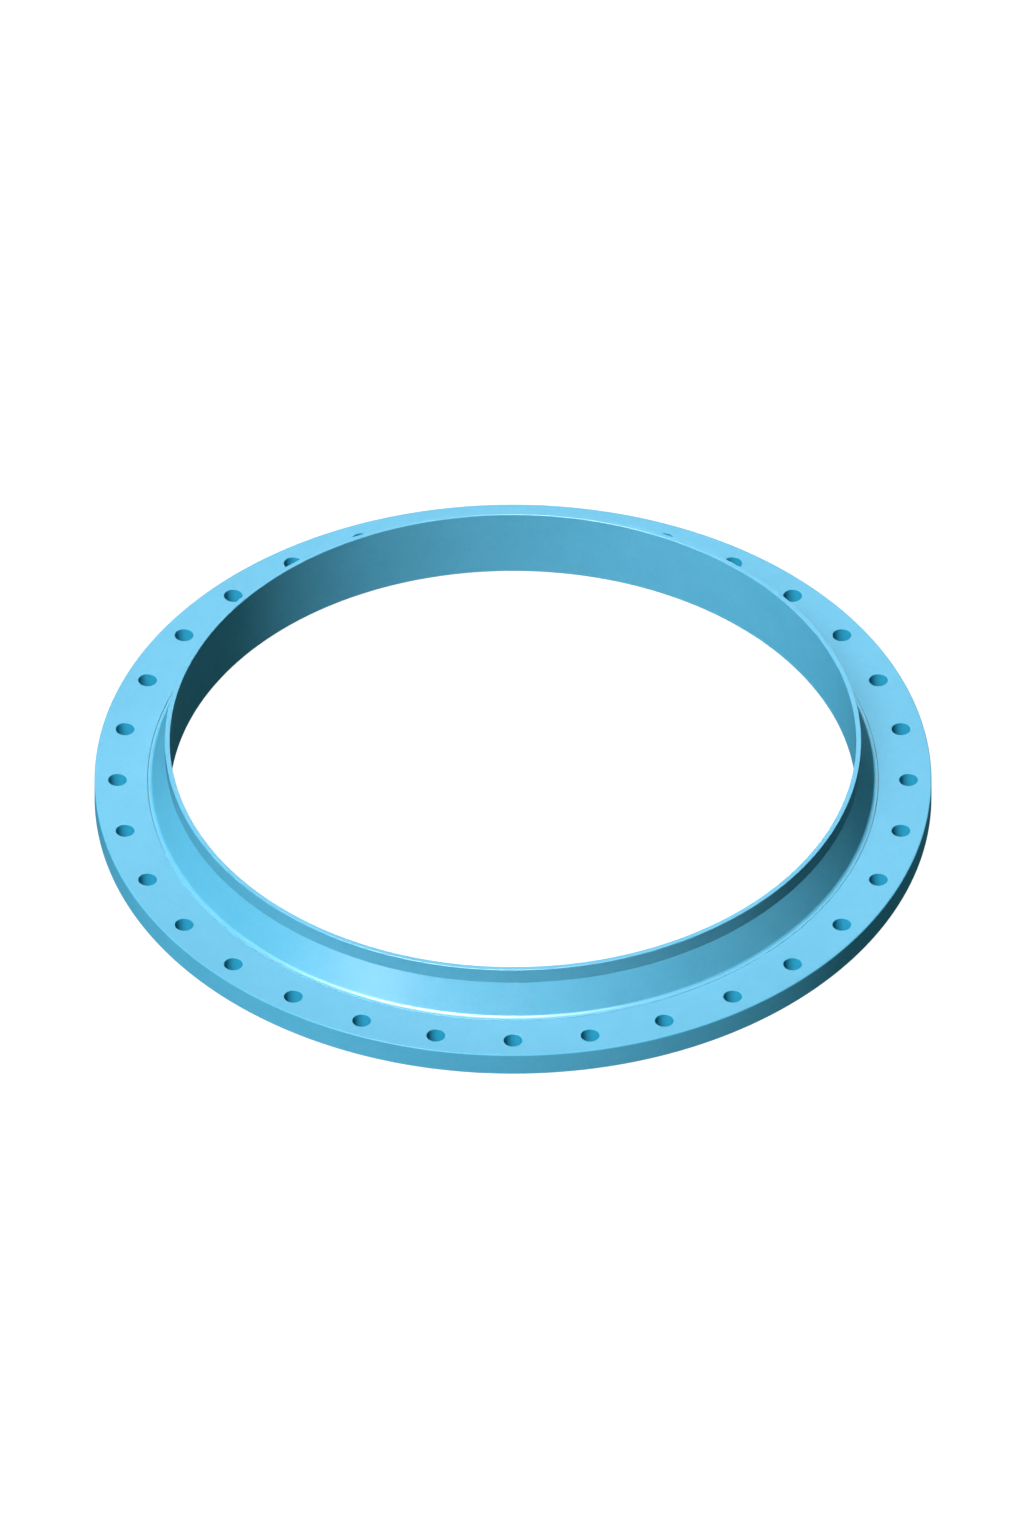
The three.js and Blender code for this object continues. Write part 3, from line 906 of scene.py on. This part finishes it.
def build_inner_ring():
    """The inner raceway and the conical neck, with tapped holes in the bottom face."""
    draft = Draft()
    body = draft.turned_rows(rounded([
        (TAPPED_FACE_OUTER, INNER_BOTTOM),
        (INNER_LAND, INNER_BOTTOM, INNER_FOOT_ROUNDING),
        *raceway(-1),
        (INNER_LAND, SHOULDER_HEIGHT, SHOULDER_ROUNDING),
        (NECK_FOOT, SHOULDER_HEIGHT, SEAM_ROUNDING),
        (NECK_FOOT, FLANGE_TOP, SEAM_ROUNDING),
        (CONE_FOOT, FLANGE_TOP, CONE_FILLET),
        (NECK_RADIUS, CONE_TOP, NECK_BEND),
        (NECK_RADIUS, NECK_TOP, NECK_TOP_ROUNDING),
        (BORE_RADIUS, NECK_TOP, NECK_TOP_ROUNDING),
        (BORE_RADIUS, INNER_BOTTOM, BORE_FOOT_ROUNDING),
        (TAPPED_FACE_INNER, INNER_BOTTOM),
    ]))
    draft.bridge_all(body)

    columns = RING_SEGMENTS // TAPPED_COUNT
    holes = (0, TAPPED_COUNT, TAPPED_CIRCLE, COUNTERSINK_RADIUS, TAPPED_PATCH_MARGIN)
    rims = holed_face(draft, body[-1], body[0], *holes)
    for i in range(TAPPED_COUNT):
        azimuth = (i + 0.5) * TAPPED_STEP
        rows = hole_wall(draft, azimuth, TAPPED_CIRCLE, tapped_hole_wall(), columns)
        draft.bridge_all([rims[i], *rows])
        draft.cap(rows[-1], polar(TAPPED_CIRCLE, azimuth, TAPPED_FLOOR + DRILL_POINT))

    ring = draft.to_object("inner_ring_fine", [paint, ground_steel], inner_ring_finish)
    even_shading(ring)
    install(ring, "inner_ring")
    return ring


# ---------------------------------------------------------------- balls and cage


def build_balls():
    """The balls share one mesh, and each sits in the middle of its CAD node's box."""
    sphere = bpy.data.meshes.new("bearing_ball")
    with editing(sphere) as edit:
        bmesh.ops.create_icosphere(edit, subdivisions=BALL_SUBDIVISIONS, radius=BALL_RADIUS * MM)
        for face in edit.faces:
            face.smooth = True
    sphere.materials.append(ball_steel)
    for i in range(BALL_COUNT):
        node = f"ball_{i + 1:02d}"
        low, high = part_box(node)
        ball = add_object(f"{node}_fine", sphere)
        ball.location = (low + high) / 2
        ball.rotation_euler = [i * turn for turn in BALL_TURNS]
        install(ball, node)


def cage_cell(draft, radius, left_side, right_side, start, end, pocket_azimuth):
    """One skin of a cage cell, with its round pocket. Gives back its low, high and pocket edges."""
    step = (end - start) / CAGE_CELL_COLUMNS
    between = [start + i * step for i in range(1, CAGE_CELL_COLUMNS)]
    low = draft.row([polar(radius, azimuth, CAGE_LOW) for azimuth in between])
    high = draft.row([polar(radius, azimuth, CAGE_HIGH) for azimuth in between])
    edge = [left_side[0], *low, *right_side, *high[::-1], *left_side[:0:-1]]

    def circle(reach):
        return [
            polar(
                radius,
                pocket_azimuth + reach * math.cos(angle) / BALL_PITCH,
                BALL_HEIGHT + reach * math.sin(angle),
            )
            for angle in patch_angles(CAGE_CELL_COLUMNS, CAGE_CELL_ROWS)
        ]

    outer = circle(CAGE_POCKET_RADIUS + CAGE_POCKET_MARGIN)
    middle = []
    for e, o in zip(edge, outer):
        halfway = draft.points[e].lerp(o, 0.5)
        middle.append(polar(radius, math.atan2(halfway.y, halfway.x), halfway.z))
    pocket = draft.row(circle(CAGE_POCKET_RADIUS))
    draft.bridge_all([edge, draft.row(middle), draft.row(outer), pocket])
    return [left_side[0], *low, right_side[0]], [left_side[-1], *high, right_side[-1]], pocket


def build_cage_segment(index):
    """A curved moulded strip with a round pocket for each ball."""
    cells = BALL_COUNT // CAGE_SEGMENTS
    span = FULL_TURN / CAGE_SEGMENTS
    edges = [index * span + span * i / cells for i in range(cells + 1)]
    edges[0] += CAGE_END_GAP
    edges[-1] -= CAGE_END_GAP
    heights = [CAGE_LOW + CAGE_HEIGHT * k / CAGE_CELL_ROWS for k in range(CAGE_CELL_ROWS + 1)]

    draft = Draft()
    skins = []
    for radius in (CAGE_INNER, CAGE_OUTER):
        sides = [draft.row([polar(radius, edge, height) for height in heights]) for edge in edges]
        skin = []
        for i in range(cells):
            middle = index * span + span * (i + 0.5) / cells
            skin.append(cage_cell(draft, radius, sides[i], sides[i + 1], edges[i], edges[i + 1], middle))
        skins.append((sides, skin))
    (inner_sides, inner_skin), (outer_sides, outer_skin) = skins
    for (low_in, high_in, pocket_in), (low_out, high_out, pocket_out) in zip(inner_skin, outer_skin):
        draft.bridge(low_in, low_out, closed=False)
        draft.bridge(high_in, high_out, closed=False)
        draft.bridge(pocket_in, pocket_out)
    draft.bridge(inner_sides[0], outer_sides[0], closed=False)
    draft.bridge(inner_sides[-1], outer_sides[-1], closed=False)

    node = f"cage_segment_{index + 1}"
    strip = draft.to_object(f"{node}_fine", [polyamide])
    add_modifier(
        strip, "BEVEL", width=CAGE_BEVEL * MM, segments=CAGE_BEVEL_SEGMENTS,
        limit_method="ANGLE", angle_limit=CAGE_BEVEL_ANGLE,
    )
    even_shading(strip)
    install(strip, node)


# ---------------------------------------------------------------- seals


def build_seal(node, corners):
    """A rubber ring with a root in the outer ring's seat and a lip that points at the inner ring."""
    draft = Draft()
    rows = draft.turned_rows(rounded_loop(corners))
    draft.bridge_all([*rows, rows[0]])
    seal = draft.to_object(f"{node}_fine", [rubber])
    even_shading(seal)
    install(seal, node)


# ---------------------------------------------------------------- filling plug, pin and grease nipples


def plug_end(x, y):
    """How far out the plug's inner end lies, at x beside and y above its own axis.

    The end carries on the raceway, which is curved both round the balls and round the slewing axis.
    """
    track_radius = RACEWAY_RADIUS + PLUG_SETBACK
    groove = BALL_PITCH + math.sqrt(max(0, track_radius ** 2 - y * y))
    return max(PLUG_INNER_END, math.sqrt(groove * groove - x * x))


def build_filling_plug():
    """A round plug whose inner end carries on the raceway, with a hole in its face to pull it out by."""
    draft = Draft()
    step = FULL_TURN / SMALL_SIDES
    inner_rows = []
    for share in PLUG_END_RINGS:
        radius = share * PLUG_RADIUS
        spots = [(radius * math.cos(i * step), radius * math.sin(i * step)) for i in range(SMALL_SIDES)]
        inner_rows.append(draft.row([Vector((x, y, plug_end(x, y))) for x, y in spots]))
    outside = draft.turned_rows(rounded([
        (PLUG_RADIUS, PLUG_SIDE_START),
        (PLUG_RADIUS, PLUG_FACE, PLUG_ROUNDING),
        (PULL_HOLE_RADIUS + PULL_HOLE_CHAMFER, PLUG_FACE),
        (PULL_HOLE_RADIUS, PLUG_FACE - PULL_HOLE_CHAMFER),
        (PULL_HOLE_RADIUS, PULL_HOLE_FLOOR),
    ]), SMALL_SIDES)
    draft.cap(inner_rows[0], Vector((0, 0, plug_end(0, 0))))
    draft.bridge_all([*inner_rows, *outside])
    draft.cap(outside[-1], Vector((0, 0, PULL_HOLE_TIP)))
    plug = draft.to_object("filling_plug_fine", [paint], placing=radial_placing(PLUG_AZIMUTH, 0))
    cut_away(plug, [pin_hole_cutter()])
    even_shading(plug)
    install(plug, "filling_plug")


def build_plug_pin():
    """The pin stands in the plug's hole, thinner at its upper end, as high as its CAD node."""
    low, high = (corner.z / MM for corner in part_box("plug_taper_pin"))
    outline = rounded([
        (0, low),
        (PIN_RADIUS, low, PIN_ROUNDING),
        (PIN_RADIUS - PIN_TAPER, high, PIN_ROUNDING),
        (0, high),
    ])
    placing = upright_placing(PLUG_AZIMUTH, PIN_CIRCLE)
    pin = turned_part("plug_taper_pin_fine", outline, [pin_steel], placing)
    even_shading(pin)
    install(pin, "plug_taper_pin")


def hexagon_row(draft, limit, height):
    """A row that follows the nipple's hexagon, but nowhere further out than limit."""
    half_flat = math.pi / 6
    points = []
    for i in range(SMALL_SIDES):
        azimuth = FULL_TURN * i / SMALL_SIDES
        from_flat = (azimuth + half_flat) % (2 * half_flat) - half_flat
        points.append(polar(min(NIPPLE_FLAT / math.cos(from_flat), limit), azimuth, height))
    return draft.row(points)


def build_grease_nipple(side):
    """A straight grease nipple: stud, chamfered hexagon, waist, and rounded head with its inlet."""
    draft = Draft()
    stud = draft.turned_rows(NIPPLE_STUD, SMALL_SIDES)
    hexagon = [hexagon_row(draft, limit, height) for limit, height in NIPPLE_HEXAGON]
    head = draft.turned_rows(rounded(NIPPLE_HEAD), SMALL_SIDES)
    draft.cap(stud[0], Vector((0, 0, NIPPLE_STUD_END)))
    draft.bridge_all([*stud, *hexagon, *head])
    draft.cap(head[-1], Vector((0, 0, NIPPLE_INLET_TIP)))
    node = f"grease_nipple_{side}"
    placing = radial_placing(GREASE_AZIMUTHS[side], GREASE_SEAT)
    nipple = draft.to_object(f"{node}_fine", [brass], placing=placing)
    even_shading(nipple)
    install(nipple, node)


# ---------------------------------------------------------------- the object

build_outer_ring()
inner_ring = build_inner_ring()
build_balls()
for segment in range(CAGE_SEGMENTS):
    build_cage_segment(segment)
build_seal("upper_seal", UPPER_SEAL)
build_seal("lower_seal", LOWER_SEAL)
build_filling_plug()
build_plug_pin()
for side in GREASE_AZIMUTHS:
    build_grease_nipple(side)

# ---------------------------------------------------------------- floor, lights and camera


def build_floor():
    """A plain white floor that shows from above only, and throws no light on the object."""
    bpy.ops.mesh.primitive_plane_add(size=FLOOR_SIZE, location=(0, 0, 0))
    floor = bpy.context.object
    floor.name = "floor"
    floor.visible_diffuse = False
    floor.visible_glossy = False
    n = new_material("floor_white")
    glow = n.add("ShaderNodeEmission", {"Color": WHITE, "Strength": FLOOR_GLOW})
    matt = n.add("ShaderNodeBsdfDiffuse", {"Color": FLOOR_GREY})
    both = n.add("ShaderNodeAddShader", {0: glow.outputs[0], 1: matt.outputs[0]})
    clear = n.add("ShaderNodeBsdfTransparent")
    from_below = n.add("ShaderNodeNewGeometry").outputs["Backfacing"]
    n.surface(n.either(from_below, both.outputs[0], clear.outputs[0]))
    floor.data.materials.append(n.owner)


def aim(thing, backwards):
    """Turns a light or camera so that it looks against the direction backwards."""
    thing.rotation_mode = "QUATERNION"
    thing.rotation_quaternion = backwards.to_track_quat("Z", "Y")


def sun(name, azimuth, elevation, spread, strength, shadow=True):
    light = bpy.data.lights.new(name, "SUN")
    light.energy = strength
    light.angle = math.radians(spread)
    light.use_shadow = shadow
    lamp = add_object(name, light)
    height = math.radians(elevation)
    aim(lamp, polar(math.cos(height), math.radians(azimuth), math.sin(height)))
    return lamp


def sheen(name, piece, **settings):
    """A sun that only adds gloss, and only to one piece."""
    lamp = sun(name, **settings, shadow=False)
    lamp.visible_diffuse = False
    receivers = bpy.data.collections.new(name)
    receivers.objects.link(piece)
    lamp.light_linking.receiver_collection = receivers


def build_world():
    """A dim tinted dome that lights the object. The camera sees plain white in its place."""
    world = bpy.data.worlds.new("studio")
    n = Nodes(world)
    height = n.height(n.coordinates["Generated"])
    strength = n.ramp(height, DOME_BELOW, DOME_ABOVE, start=HORIZON_LOW, end=HORIZON_HIGH)
    dome = n.add("ShaderNodeBackground", {"Color": DOME_COLOUR, "Strength": strength})
    backdrop = n.add("ShaderNodeBackground", {"Color": WHITE})
    seen = n.add("ShaderNodeLightPath").outputs["Is Camera Ray"]
    n.surface(n.either(seen, dome.outputs[0], backdrop.outputs[0]))
    bpy.context.scene.world = world


def light_object(ring):
    """A shadowless key from the front left, a softer one that shades, and fills from below and behind.

    Two sheens, for the inner ring alone, draw the bright line on the foot of its neck.
    """
    sun("key", **KEY, shadow=False)
    sun("key_soft", **KEY_SOFT)
    sheen("sheen_high", ring, **SHEEN_HIGH)
    sheen("sheen_low", ring, **SHEEN_LOW)
    sun("under_fill", **UNDER_FILL, shadow=False)
    sun("rear_fill", **REAR_FILL)


def place_camera():
    """A parallel view from the front and above."""
    camera = bpy.data.cameras.new("camera")
    camera.type = "ORTHO"
    camera.ortho_scale = VIEW_HEIGHT
    camera.clip_end = CAMERA_REACH
    back = Vector((0, -math.cos(VIEW_ELEVATION), math.sin(VIEW_ELEVATION)))
    up = Vector((0, math.sin(VIEW_ELEVATION), math.cos(VIEW_ELEVATION)))
    target = Vector((VIEW_RIGHT, 0, FLANGE_TOP * MM)) + up * VIEW_UP
    eye = add_object("camera", camera)
    eye.location = target + back * CAMERA_DISTANCE
    aim(eye, back)
    bpy.context.scene.camera = eye


build_floor()
build_world()
light_object(inner_ring)
place_camera()
bpy.context.scene.view_settings.view_transform = "Standard"

bpy.context.view_layer.update()
